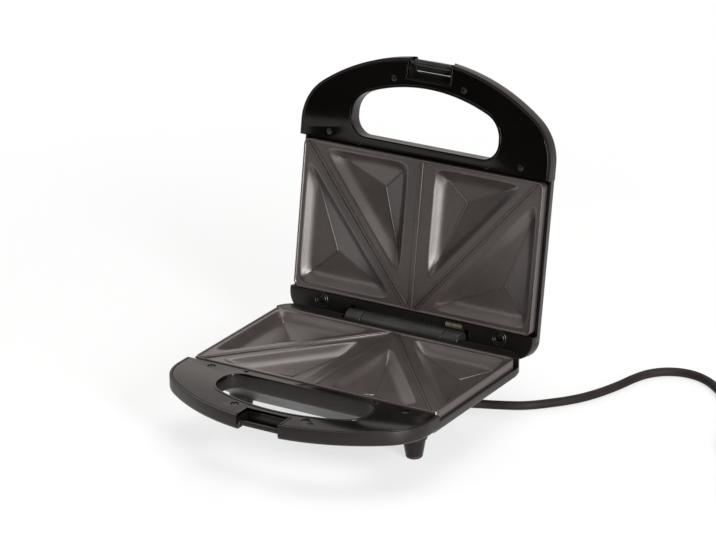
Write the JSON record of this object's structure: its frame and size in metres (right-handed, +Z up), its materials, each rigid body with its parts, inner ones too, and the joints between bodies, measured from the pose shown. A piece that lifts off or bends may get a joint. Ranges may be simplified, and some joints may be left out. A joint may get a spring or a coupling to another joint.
{
  "type": "sandwich toaster",
  "caption": "Countertop sandwich toaster with a hinged lid, cast plates of triangular pockets, D-shaped handles with finger holes, a fold-out latch clip and a coiled mains cord.",
  "frame": {"origin": "on the table under the middle of the open toaster's footprint, cord left out", "axes": "+X to the right seen from the front (handle side), +Y to the back (hinge side), +Z up"},
  "size_m": [0.4909, 0.3441, 0.259],
  "materials": {
    "black_gloss": "glossy moulded plastic",
    "cover_gloss": "glossy moulded plastic",
    "nonstick": "dark non-stick coating on cast aluminium, satin with fine grain",
    "element_steel": "heat-darkened sheath",
    "sheet_steel": "bright sheet",
    "screw_steel": "dark zinc",
    "pin_steel": "polished",
    "hinge_plastic": "dark grey satin",
    "latch_plastic": "dark grey satin",
    "foot_plastic": "glossy moulded plastic",
    "foot_pad": "soft, matt",
    "sleeve_braid": "braided glass fibre, olive",
    "wire_jacket": "heat-proof insulation",
    "ceramic": "unglazed, off-white",
    "fuse_metal": "bright",
    "clamp_plastic": "black, matt",
    "cord_jacket": "black jacket, soft sheen",
    "tie_plastic": "black, matt",
    "plug_plastic": "black, fine grain",
    "plug_pin": "nickel plated",
    "red_lens": "clear red",
    "green_lens": "clear green",
    "lamp_glass": "small lamp bodies"
  },
  "bodies": {
    "base": {"base_shell": "black_gloss", "base_handle_cover": "cover_gloss", "base_cover_screws": "screw_steel", "base_plate": "nonstick", "base_element": "element_steel", "base_element_straps": "sheet_steel", "base_reflector": "sheet_steel", "base_plate_screws": "pin_steel", "thermostat": "ceramic", "terminal_block": "ceramic", "base_leads": "wire_jacket", "front_feet": "foot_plastic", "rear_feet": "foot_plastic", "foot_pads": "foot_pad", "hinge_bracket": "hinge_plastic", "hinge_pins": "pin_steel", "strain_relief": "cord_jacket", "cord_clamp": "clamp_plastic", "cord_clamp_screws": "pin_steel", "mains_cord": "cord_jacket", "cord_coil": "cord_jacket", "coil_tie": "tie_plastic", "plug_body": "plug_plastic", "plug_pins": "plug_pin"},
    "lid": {"lid_shell": "black_gloss", "lid_handle_cover": "cover_gloss", "lid_cover_screws": "screw_steel", "lid_plate": "nonstick", "lid_element": "element_steel", "lid_element_straps": "sheet_steel", "lid_reflector": "sheet_steel", "lid_plate_screws": "pin_steel", "thermal_fuse": "fuse_metal", "lid_leads": "wire_jacket", "lid_rear_screws": "screw_steel", "hinge_barrel": "hinge_plastic", "lead_sleeve": "sleeve_braid", "power_lens": "red_lens", "ready_lens": "green_lens", "lamps": "lamp_glass", "latch_pin": "pin_steel"},
    "latch": {"latch_lever": "latch_plastic"}
  },
  "joints": [
    {"name": "lid_hinge", "type": "hinge", "parent": "base", "child": "lid", "pos_m": [0, 0.0741, 0.047], "axis": [1, 0, 0], "range_deg": [0, 99.5]},
    {"name": "latch_pivot", "type": "hinge", "parent": "lid", "child": "latch", "pos_m": [0, 0.12084, 0.25362], "axis": [1, 0, 0], "range_deg": [0, 184]}
  ]
}
